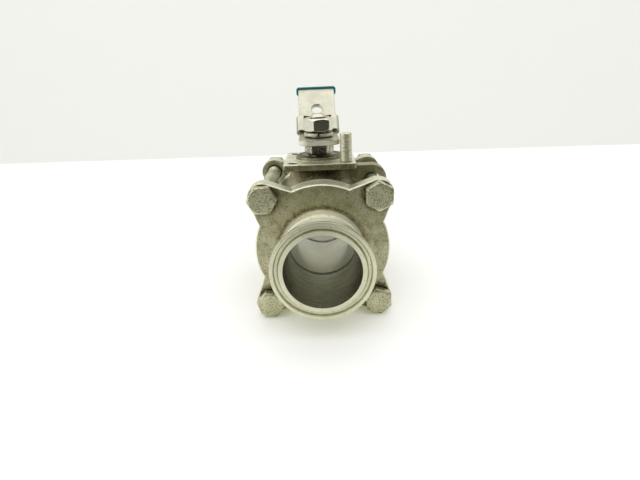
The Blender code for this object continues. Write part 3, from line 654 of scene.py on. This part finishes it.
def end_cap():
    disc = plate(cap_outline(), -CAP_INNER, -CAP_OUTER, 0.4, 1.3)
    hub = turned_on(turned(hub_outline()), ALONG_PIPE)
    cap = combined(turned_on(disc, UPRIGHT), [hub], "UNION")
    bore = filleted(
        [
            (0.0, FACE - 3.0),
            (BORE + 3.2, FACE - 3.0),
            (BORE, FACE + 0.2, 0.2),
            (BORE, SEAT_FLOOR),
            (SEAT_POCKET, SEAT_FLOOR),
            (SEAT_POCKET, SEAT_FLOOR + 4.8),
            (0.0, SEAT_FLOOR + 4.8),
        ]
    )
    cutters = [turned_on(turned(bore), ALONG_PIPE)]
    start, end = CAP_OUTER - 2.0, CAP_INNER + 2.0
    hole = [(0.0, start), (8.2, start), (BOLT_HOLE, CAP_OUTER + 0.4), (BOLT_HOLE, end), (0.0, end)]
    for x in (-BOLTS, BOLTS):
        for z in (-BOLTS, BOLTS):
            cutters.append(turned_on(turned(hole, 48), ALONG_PIPE, Matrix.Translation((x, 0.0, z))))
    return combined(cap, cutters, "DIFFERENCE")


def cap_paint(spot):
    radius = math.hypot(spot.x, spot.z)
    along = abs(spot.y)
    # the bore takes the darker copy of the turned steel, painted shade
    if radius < BORE + 0.1:
        return CAP_BORE_SHADED
    if along > -FACE - 8.0 or radius < SPIGOT + 0.1 and along < -CAP_INNER:
        return TURNED
    # the neck takes the satin steel, painted lighter as a highlight
    if along > -NECK_END - 0.1:
        return SATIN_LIT
    in_bolt_hole = math.hypot(abs(spot.x) - BOLTS, abs(spot.z) - BOLTS) < 8.5
    # the disc's rim takes the lighter copy of the cast steel, a painted highlight
    if radius > SPIGOT + 1.0 and along < -CAP_OUTER - 0.15 and not in_bolt_hole:
        return CAST_LIT
    # the hub takes the near-white copy of the cast steel, a painted highlight
    return HUB_CAST_LIT if along > -CAP_OUTER + 0.8 else CAST


# Body


def remeshed(meshes, voxel, smoothing):
    """Fuses closed shapes into one skin whose inner corners are filled like a casting's."""
    bm = bmesh.new()
    for mesh in meshes:
        bm.from_mesh(mesh)
    joined = bpy.data.meshes.new("joined")
    bm.to_mesh(joined)
    bm.free()
    helper = bpy.data.objects.new("helper", joined)
    bpy.context.scene.collection.objects.link(helper)
    skin = helper.modifiers.new("skin", "REMESH")
    skin.mode = "VOXEL"
    skin.voxel_size = voxel
    soften = helper.modifiers.new("soften", "SMOOTH")
    soften.factor = 0.5
    soften.iterations = smoothing
    graph = bpy.context.evaluated_depsgraph_get()
    mesh = bpy.data.meshes.new_from_object(helper.evaluated_get(graph))
    bpy.data.objects.remove(helper)
    return mesh


def body():
    """The middle casting: drum with two machined bands, pad on its neck, boss and bolt lug."""
    drum = filleted(
        [
            (0.0, -HALF_LENGTH),
            (DRUM, -HALF_LENGTH, 0.5),
            (DRUM, -BAND, 0.8),
            (WAIST, -BAND_FOOT, 0.8),
            (WAIST, BAND_FOOT, 0.8),
            (DRUM, BAND, 0.8),
            (DRUM, HALF_LENGTH, 0.5),
            (0.0, HALF_LENGTH),
        ]
    )
    neck = filleted(
        [(0.0, 32.0), (27.5, 32.0), (24.0, 38.3, 3.0), (19.0, 48.6, 2.0), (19.0, 51.9), (0.0, 51.9)]
    )
    boss = filleted([(0.0, 50.6), (BOSS, 50.6), (BOSS, BOSS_TOP, 0.8), (0.0, BOSS_TOP)])
    corners = [(x * PAD_HALF, y * PAD_HALF, 2.2) for x, y in SQUARE]
    pad = plate(filleted(corners, closed=True), PAD_BOTTOM, PAD_TOP, 0.4, 0.5)
    lug_height = BOLTS + 1.0
    lug_outline = [
        *arc((BOLTS, lug_height), LUG, math.radians(-50.0), math.radians(90.0), 24),
        Vector((16.0, lug_height + LUG)),
        Vector((16.0, 16.0)),
        Vector((38.5, 17.0)),
    ]
    lug = turned_on(plate(lug_outline, -LUG_HALF, LUG_HALF, 0.9, 0.9), UPRIGHT)
    skin = remeshed(
        [turned_on(turned(drum), ALONG_PIPE), turned(neck), pad, turned(boss), lug],
        voxel=0.58,
        smoothing=4,
    )
    stem_way = [
        (0.0, 33.0),
        (10.0, 33.0),
        (10.0, 43.3),
        (7.3, 43.3),
        (7.3, 45.9),
        (CHAMBER, 45.9),
        (CHAMBER, BOSS_TOP - 0.5),
        (CHAMBER + 2.0, BOSS_TOP + 1.5),
        (0.0, BOSS_TOP + 1.5),
    ]
    cutters = [turned(stem_way)]
    start, end = PAD_BOTTOM - 1.6, PAD_TOP + 2.0
    hole = [(0.0, start), (3.3, start), (3.3, PAD_TOP - 0.4), (5.7, end), (0.0, end)]
    for x in (-PAD_HOLES, PAD_HOLES):
        for y in (-PAD_HOLES, PAD_HOLES):
            cutters.append(turned_on(turned(hole, 40), Matrix.Translation((x, y, 0.0))))
    reach = LUG_HALF + 2.2
    lug_hole = turned([(0.0, -reach), (BOLT_HOLE, -reach), (BOLT_HOLE, reach), (0.0, reach)], 48)
    cutters.append(turned_on(lug_hole, ALONG_PIPE, Matrix.Translation((BOLTS, 0.0, BOLTS))))
    cavity = [(0.0, -36.0), (CAVITY, -36.0), (CAVITY, SPIGOT_END), (38.5, SPIGOT_END)]
    cavity += [(radius, -height) for radius, height in reversed(cavity)]
    cutters.append(turned_on(turned(cavity), ALONG_PIPE))
    return combined(skin, cutters, "DIFFERENCE", "MANIFOLD")


def drum_edge():
    """The bright chamfer that a lathe leaves on the drum's end."""
    end = -HALF_LENGTH
    inner, outer = DRUM - 1.2, DRUM + 0.03
    points = [(inner, end), (DRUM - 0.7, end), (outer, end + 0.7)]
    points += [(outer, end + 1.3), (inner, end + 1.3)]
    return turned_on(turned(points, FINE, ring=True), ALONG_PIPE)


def body_paint(spot):
    inside = math.hypot(spot.x, spot.z) < CAVITY + 0.2
    from_stem = math.hypot(spot.x, spot.y)
    # the cavity and the stem's chamber take the darker copy of bored steel, painted shade
    if inside or from_stem < CHAMBER + 0.6:
        return BORED_SHADED
    if abs(spot.y) > (BAND + BAND_FOOT) / 2 - 0.15:
        return MACHINED
    # the pad's top takes the lighter copy of the cast steel, a painted highlight
    return CAST_LIT if spot.z > PAD_TOP - 0.4 and from_stem > BOSS + 0.4 else CAST


# Ball and seats


def ball():
    edge = math.acos(BORE / BALL)
    flat = BALL * math.sin(edge)
    outline = [Vector((BORE, flat - 0.8)), Vector((BORE + 0.25, flat - 0.25))]
    outline += arc((0.0, 0.0), BALL, edge - 0.02, 0.02 - edge, 40)
    outline += [Vector((BORE + 0.25, 0.25 - flat)), Vector((BORE, 0.8 - flat))]
    shell = turned_on(turned(outline, 128, ring=True), ALONG_PIPE)
    tang_slot = [Vector((x * BALL, y * 4.3)) for x, y in SQUARE]
    return combined(shell, [plate(tang_slot, 31.5, 43.0)], "DIFFERENCE")


def seat():
    """A seat ring, hollowed to the ball's curve, with its lip just proud of the bore."""
    curve = BALL + 0.3
    inner = BORE + 0.08
    start = math.acos(27.5 / curve)
    end = math.asin(inner / curve)
    hollow = [start + (end - start) * step / 8 for step in range(9)]
    points = [(inner, SEAT_BACK), (SEAT_RIM, SEAT_BACK), (SEAT_RIM, SEAT_BACK + 5.0)]
    points += [(curve * math.sin(a), -curve * math.cos(a)) for a in hollow]
    return turned_on(turned(points, ring=True), ALONG_PIPE)


# Fasteners


def hex_radius(flats, angle):
    """Distance from the middle of a hexagon to its edge, with the corners eased."""
    turn = (angle + math.radians(30.0)) % math.radians(60.0) - math.radians(30.0)
    turn = math.radians(30.0) - abs(turn)
    sharp = flats / 2 / math.cos(turn)
    limit = flats / 2 / math.cos(math.radians(30.0)) - HEX_CORNER
    return min(sharp, limit + 0.15 * (sharp - limit)) if sharp > limit else sharp


def hex_ring(flats, height, away, chamfer):
    """A ring round a hexagon. With chamfer=(radius, direction) it follows the turned-off cone."""
    ring = []
    for angle in turns(FINE):
        radius = hex_radius(flats, angle) - away
        drop = 0.0
        if chamfer:
            drop = max(radius - chamfer[0], 0.0) * math.tan(math.radians(30.0)) * chamfer[1]
        ring.append(at_angle(radius, angle, height + drop))
    return ring


def hex_rings(flats, low, high, high_chamfer=True):
    """Rings of a hexagon's side, from its low face to its high face."""
    flat = flats / 2 * 0.92
    ease = 0.18
    rings = [circle(flat - 0.3, low, FINE), circle(flat, low, FINE)]
    way = (flat, 1)
    rings += [hex_ring(flats, low, ease, way), hex_ring(flats, low + ease, 0.0, way)]
    way = (flat, -1) if high_chamfer else None
    rings += [hex_ring(flats, high - ease, 0.0, way), hex_ring(flats, high, ease, way)]
    rings += [circle(flat, high, FINE), circle(flat - 0.3, high, FINE)]
    return rings


def thread_rings(radius, depth, low, high):
    """Rings of a helical thread that fades in at its low end."""
    steps = int((high - low) / PITCH * 8)
    rings = []
    for step in range(steps + 1):
        height = low + (high - low) * step / steps
        fade = min((height - low) / PITCH, 1.0)
        ring = []
        for angle in turns(FINE):
            phase = (height / PITCH - angle / math.tau) % 1.0
            groove = min(abs(phase - 0.5) * 2.6, 1.0)
            ring.append(at_angle(radius - depth * fade * (1 - groove), angle, height))
        rings.append(ring)
    return rings


def bolt():
    """A hexagon bolt along +Z with the underside of its head at 0."""
    rings = hex_rings(BOLT_FLATS, -HEAD_HEIGHT, 0.0, high_chamfer=False)
    rings += [circle(BOLT_RADIUS + 0.4, 0.0, FINE), circle(BOLT_RADIUS, 0.4, FINE)]
    rings += [circle(BOLT_RADIUS, 63.0, FINE)]
    rings += thread_rings(BOLT_RADIUS, 0.75, 64.0, BOLT_LENGTH - 1.2)
    rings += [circle(BOLT_RADIUS - ease, BOLT_LENGTH, FINE) for ease in (0.9, 1.3)]
    return turned_on(loft(rings), ALONG_PIPE)


def nut(flats, height, hole):
    rings = hex_rings(flats, 0.0, height)
    rings += [circle(hole + 0.7, height, FINE), circle(hole, height - 0.7, FINE)]
    rings += [circle(hole, 0.7, FINE), circle(hole + 0.7, 0.0, FINE)]
    return loft(rings, ends=False)


def split_washer(inner, outer, thickness, lift=0.0):
    """A spring washer cut through at -Y, one side of the cut lifted above the other."""
    ease = 0.25
    corners = [(inner, 0.0), (outer, 0.0), (outer, thickness), (inner, thickness)]
    section = filleted([(*corner, ease) for corner in corners], 3, closed=True)
    rings = []
    for step in range(ROUND + 1):
        share = step / ROUND
        angle = math.radians(-90.0) + WASHER_CUT / 2 + (math.tau - WASHER_CUT) * share
        rings.append([at_angle(r, angle, z + lift * share) for r, z in section])
    return loft(rings)


def stop_post():
    """A round pin whose thinner foot fills a corner hole of the pad."""
    foot, radius = 3.0, 3.9
    step, top = PAD_TOP + 0.3, heights("stop_post")[1]
    outline = [(0.0, PAD_BOTTOM), (foot, PAD_BOTTOM), (foot, step), (radius, step, 0.2)]
    return turned(filleted([*outline, (radius, top, 0.7), (0.0, top)]), 64)


def stem():
    """Tang, collar, shaft, two flats for the lever and a threaded end."""
    top = heights("stem")[1]
    rings = [circle(9.5, 38.6, FINE), circle(9.5, 41.6, FINE), circle(STEM, 41.6, FINE)]
    shoulder = LEVER_MIDDLE - LEVER_THICK / 2 - 0.3

    def flatted(height):
        return [Vector((max(min(p.x, 6.0), -6.0), p.y, p.z)) for p in circle(STEM, height, FINE)]

    rings += [circle(STEM, shoulder, FINE), flatted(shoulder), flatted(68.4)]
    rings += [circle(STEM_THREAD, 68.6, FINE)]
    rings += thread_rings(STEM_THREAD, 0.7, 68.8, top - 1.8)
    rings += [circle(4.3, top - 0.25, FINE), circle(3.9, top, FINE), circle(0.9, top, FINE)]
    rings += [circle(0.2, top - 0.6, FINE)]
    tang = [Vector((x * 8.0, y * 4.0)) for x, y in SQUARE]
    return combined(loft(rings), [plate(tang, 31.8, 39.6)], "UNION")


# Lever


def riser_point(along):
    """A point on the riser's middle line, in the plane of the stem and the pipe."""
    y = RISER_START + along * math.cos(RISER_ANGLE)
    return Vector((0.0, y, LEVER_MIDDLE + along * math.sin(RISER_ANGLE)))


def riser_end():
    return riser_point(RISE / math.sin(RISER_ANGLE))


def lever():
    """The bare strip: rounded nose, stem hole, bends, padlock hole and the tongue in the sleeve."""
    nose = 7.0
    flat_gap, round_gap = 6.3, 7.3  # from the stem's axis to the hole's flats and round sides
    top = riser_end()
    tip = REACH - 2.4
    path = filleted(
        [
            (-19.0, LEVER_MIDDLE),
            (RISER_START, LEVER_MIDDLE, 6.0),
            (top.y, top.z, 6.0),
            (tip, top.z - (tip - top.y) * math.tan(DROOP)),
        ],
        12,
    )
    stations = []
    for step in range(13):
        angle = math.radians(90.0) * step / 12
        spot = path[0] + Vector((nose * (1 - math.cos(angle)), 0.0))
        stations.append((spot, nose * (1 - math.sin(angle))))
    stations += [(point, 0.0) for point in path[1:]]
    half = LEVER_THICK / 2
    rings = []
    for index, (spot, narrowing) in enumerate(stations):
        before = stations[max(index - 1, 0)][0]
        after = stations[min(index + 1, len(stations) - 1)][0]
        way = (after - before).normalized()
        up = Vector((-way.y, way.x))
        wide = LEVER_HALF - narrowing
        corners = [(x * wide, z * half, 0.7) for x, z in SQUARE]
        ring = []
        for x, rise in filleted(corners, 4, closed=True):
            point = spot + up * rise
            ring.append(Vector((x, point.x, point.y)))
        rings.append(ring)
    bar = loft(rings)
    corner = math.acos(flat_gap / round_gap)
    stem_hole = arc((0.0, 0.0), round_gap, -math.pi + corner, -corner, 20)
    stem_hole += arc((0.0, 0.0), round_gap, corner, math.pi - corner, 20)
    lip, deep, wide = half - 0.35, 4.0, PADLOCK_HOLE + 3.6
    drill = [(0.0, -deep), (wide, -deep), (PADLOCK_HOLE, -lip)]
    drill += [(radius, -height) for radius, height in reversed(drill)]
    across = Matrix.Translation(riser_point(PADLOCK_AT)) @ Matrix.Rotation(RISER_ANGLE, 4, "X")
    cutters = [plate(stem_hole, LEVER_MIDDLE - deep, LEVER_MIDDLE + deep)]
    cutters.append(turned_on(turned(drill, 64), across))
    return combined(bar, cutters, "DIFFERENCE")


def nose_paint(spot):
    # the nose's edge takes the satin steel, painted lighter as a highlight
    on_edge = spot.y < -9.0 and abs(spot.z - LEVER_MIDDLE) < LEVER_THICK / 2 - 0.4
    return SATIN_LIT if on_edge else SHEET


def grip_sleeve(length):
    """A dipped sleeve along +Y with a soft lip at its mouth and a rounded closed end."""
    half_w, half_h, wall = LEVER_HALF + 0.2, LEVER_THICK / 2 + 0.2, 1.4
    outer, mouth, end_round = 2.2, 0.6, 1.2  # radii of its long edges, its mouth's corners, its end

    def section(grow, y, corner):
        w, h = half_w + grow, half_h + grow
        corners = [(x * w, z * h, corner) for x, z in SQUARE]
        return [Vector((x, y, z)) for x, z in filleted(corners, 6, closed=True)]

    rings = []
    for step in range(7):
        angle = math.radians(90.0) * step / 6
        grow = wall - end_round * (1 - math.sin(angle))
        rings.append(section(grow, length - end_round * (1 - math.cos(angle)), outer))
    spans = 40
    for step in range(spans + 1):
        y = (length - end_round) * (1 - step / spans) + 0.5 * step / spans
        rings.append(section(wall, y, outer))
    for angle in (30.0, 60.0, 90.0, 120.0, 150.0, 180.0):
        turn = math.radians(angle)
        grow = wall / 2 + wall / 2 * math.cos(turn)
        corner = mouth + (outer - mouth) * grow / wall
        rings.append(section(grow, 0.5 - 0.5 * math.sin(turn), corner))
    rings.append(section(0.0, length - wall, mouth))
    return loft(rings)


def lock_slide():
    """A folded sheet that wraps the strip's top and edges and turns in under it."""
    w, h, wall, bend = LEVER_HALF + 0.3, LEVER_THICK / 2 + 0.3, 1.8, 1.4
    mouth = w - 4.0
    outer, inner = bend + wall, bend
    outline = filleted(
        [
            (-mouth, -h - wall, 0.4),
            (-mouth, -h, 0.4),
            (-w, -h, inner),
            (-w, h, inner),
            (w, h, inner),
            (w, -h, inner),
            (mouth, -h, 0.4),
            (mouth, -h - wall, 0.4),
            (w + wall, -h - wall, outer),
            (w + wall, h + wall, outer),
            (-w - wall, h + wall, outer),
            (-w - wall, -h - wall, outer),
        ],
        8,
        closed=True,
    )
    return turned_on(plate(outline, -6.5, 6.5, 0.35, 0.35), ALONG_PIPE)


# Assembly


ENDS = (("near", Matrix()), ("far", Matrix.Rotation(math.pi, 4, "Z")))
for end, turn in ENDS:
    looks = [CAST, TURNED, CAP_BORE_SHADED, CAST_LIT, SATIN_LIT, HUB_CAST_LIT]
    node = "end_cap_" + end
    piece("cap_" + end, end_cap(), "housing", looks, [node], turn, cap_paint)
    piece("seat_ring_" + end, seat(), "housing", [PTFE], ["seat_" + end], turn)

looks = [CAST, BORED_SHADED, CAST_LIT, MACHINED]
piece("valve_body", body(), "housing", looks, ["body"], paint=body_paint)
for end, turn in ENDS:
    piece("drum_edge_" + end, drum_edge(), "housing", [TURNED], ["body"], turn)
piece("bored_ball", ball(), "ball", [BORED_SHADED], ["ball"])

bolt_places = [(x * BOLTS, z * BOLTS) for z in (1, -1) for x in (-1, 1)]
for index, (x, z) in enumerate(bolt_places):
    number = str(index + 1)
    head = Matrix.Rotation(math.radians(HEAD_TURNS[index]), 4, "Y")
    tail = Matrix.Rotation(math.radians(NUT_TURNS[index]), 4, "Y") @ ALONG_PIPE
    washer_y = -CAP_OUTER + CAP_GAP
    bolt_at = Matrix.Translation((x, CAP_OUTER - CAP_GAP, z)) @ head
    washer_at = Matrix.Translation((x, washer_y, z)) @ tail
    nut_at = Matrix.Translation((x, washer_y + LOCK_WASHER + CAP_GAP, z)) @ tail
    for name, mesh, node, place in (
        ("through_bolt_", bolt(), "bolt_", bolt_at),
        ("lock_washer_", split_washer(NUT_HOLE, 8.8, LOCK_WASHER), "spring_washer_", washer_at),
        ("hex_nut_", nut(BOLT_FLATS, NUT_HEIGHT, NUT_HOLE), "bolt_nut_", nut_at),
    ):
        piece(name + number, mesh, "housing", [BOLT], [node + number], place)

post_at = Matrix.Translation((PAD_HOLES, -PAD_HOLES, 0.0))
piece("stop_pin", stop_post(), "housing", [POST], ["stop_post"], post_at)

piece("valve_stem", stem(), "lever", [SPINDLE], ["stem"])
low, high = heights("gland_nut")
mesh = nut(18.0, high - low, STEM + 0.3)
place = Matrix.Translation((0.0, 0.0, low))
piece("packing_nut", mesh, "lever", [GLAND], ["gland_nut"], place)
low, high = heights("lever_washer")
lift = 0.5
mesh = split_washer(STEM_THREAD + 0.3, 10.1, high - low - lift, lift)
place = Matrix.Translation((0.0, 0.0, low))
piece("split_washer", mesh, "lever", [POST], ["lever_washer"], place)
low, high = heights("lever_nut")
mesh = nut(19.0, high - low, STEM_THREAD + 0.3)
place = Matrix.Translation((0.0, 0.0, low)) @ Matrix.Rotation(math.radians(13.4), 4, "Z")
piece("handle_nut", mesh, "lever", [BRIGHT], ["lever_nut"], place)

play = Matrix.Rotation(PLAY, 4, "Z")
piece("handle", lever(), "lever", [SHEET, SATIN_LIT], ["lever"], play, nose_paint)
tilt = Matrix.Rotation(-DROOP, 4, "X")
mouth_at = riser_end() + tilt @ Vector((0.0, 1.6, 0.0))
mesh = grip_sleeve((REACH - mouth_at.y) / math.cos(DROOP) - 0.1)
place = play @ Matrix.Translation(mouth_at) @ tilt
piece("grip", mesh, "lever", [VINYL], ["grip_sleeve"], place)
place = play @ Matrix.Translation(riser_point(SLIDE_AT)) @ Matrix.Rotation(RISER_ANGLE, 4, "X")
piece("sliding_lock", lock_slide(), "lock_slide", [SHEET], ["lock_slide"], place)

# The pieces that stay sealed inside keep their CAD shape
INNER_LOOKS = {
    "body_seal_near": PTFE,
    "body_seal_far": PTFE,
    "thrust_washer": PTFE,
    "packing_ring_1": PTFE,
    "packing_ring_2": PTFE,
    "gland_follower": SPINDLE,
    "disc_spring_1": SPINDLE,
    "disc_spring_2": SPINDLE,
}
for name, look in INNER_LOOKS.items():
    for material_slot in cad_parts[name].material_slots:
        material_slot.material = look


# Stage, light and camera


def plain(name, colour, roughness, glow=(0.0, 0.0, 0.0)):
    tree = Nodes(name)
    tree.shader.inputs["Base Color"].default_value = (*colour, 1.0)
    tree.shader.inputs["Emission Color"].default_value = (*glow, 1.0)
    return tree.set(Roughness=roughness, Emission_Strength=1.0)


def backdrop():
    """A pale table against a wall that is a little darker. The table's faint yellow glow is painted
    light: it lifts the shadows on it and tints them yellow.
    """
    wall, skew, side, top = 0.533, -0.045, 3.0, 2.5
    corners = [(-side, -2.5, 0.0), (side, -2.5, 0.0)]
    corners += [(side, wall + skew * side, 0.0), (-side, wall - skew * side, 0.0)]
    corners += [(side, wall + skew * side, top), (-side, wall - skew * side, top)]
    mesh = bpy.data.meshes.new("backdrop")
    mesh.from_pydata(corners, [], [(0, 1, 2, 3), (3, 2, 4, 5)])
    # the table glows a faint yellow: painted light that lifts and tints the shadows on it
    mesh.materials.append(plain("pale_glowing_table", (0.79, 0.785, 0.86), 0.6, (0.16, 0.165, 0.085)))
    mesh.materials.append(plain("pale_wall", (0.55, 0.55, 0.53), 0.8, (0.31, 0.315, 0.29)))
    mesh.polygons[1].material_index = 1
    made = bpy.data.objects.new("backdrop", mesh)
    bpy.context.scene.collection.objects.link(made)
    made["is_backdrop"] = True


def soft_box(name, place, target, size, power):
    light = bpy.data.lights.new(name, "AREA")
    light.shape = "RECTANGLE"
    light.size = light.size_y = size
    light.energy = power
    made = bpy.data.objects.new(name, light)
    bpy.context.scene.collection.objects.link(made)
    made.location = place
    made.rotation_euler = (Vector(target) - Vector(place)).to_track_quat("-Z", "Y").to_euler()
    return made


def flag(name, place, width, height):
    """A dark studio card that only reflections see, as the dark room behind a camera is."""
    bm = bmesh.new()
    bm.faces.new([bm.verts.new((x * width / 2, 0.0, z * height / 2)) for x, z in SQUARE])
    mesh = bpy.data.meshes.new(name)
    bm.to_mesh(mesh)
    bm.free()
    mesh.materials.append(plain("black_card", (0.05, 0.05, 0.04), 1.0))
    made = bpy.data.objects.new(name, mesh)
    bpy.context.scene.collection.objects.link(made)
    made.location = place
    made.visible_camera = False
    made.visible_diffuse = False
    made.visible_shadow = False
    made.visible_transmission = False
    made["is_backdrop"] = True


def surroundings():
    world = bpy.data.worlds.new("room")
    bpy.context.scene.world = world
    world.use_nodes = True
    background = world.node_tree.nodes["Background"]
    background.inputs["Color"].default_value = (1.0, 1.0, 0.985, 1.0)
    background.inputs["Strength"].default_value = 0.62


def photo_camera():
    """The camera stands in front of the near ferrule and looks down at the valve."""
    place = CENTRE + Vector((3.21, -298.7, 109.4)) * MM
    pitch, yaw, roll = (math.radians(angle) for angle in (21.75, -1.043, -2.439))
    ahead = Vector((math.sin(yaw), math.cos(yaw), 0.0))
    forward = ahead * math.cos(pitch) - Vector((0.0, 0.0, math.sin(pitch)))
    right = Vector((math.cos(yaw), -math.sin(yaw), 0.0))
    up = right.cross(forward)
    tilted_right = math.cos(roll) * right + math.sin(roll) * up
    tilted_up = math.cos(roll) * up - math.sin(roll) * right
    lens = bpy.data.cameras.new("camera")
    lens.sensor_width = 36.0
    lens.lens = 23.42
    lens.clip_start = 0.01
    made = bpy.data.objects.new("camera", lens)
    bpy.context.scene.collection.objects.link(made)
    turn = Matrix((tilted_right, tilted_up, -forward)).transposed().to_4x4()
    made.matrix_world = Matrix.Translation(place) @ turn
    bpy.context.scene.camera = made


backdrop()
soft_box("overhead", (0.0, 0.0, 1.2), (0.0, 0.0, 0.0), 2.6, 24.0)
left_panel = soft_box("left_panel", (-0.9, -0.35, 0.5), (0.0, 0.0, 0.08), 0.9, 3.0)
left_panel.visible_diffuse = False
flag("front_card", (0.40, -0.34, 0.22), 1.3, 0.46)
surroundings()
photo_camera()
bpy.context.scene.view_settings.view_transform = "Standard"

low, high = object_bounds()
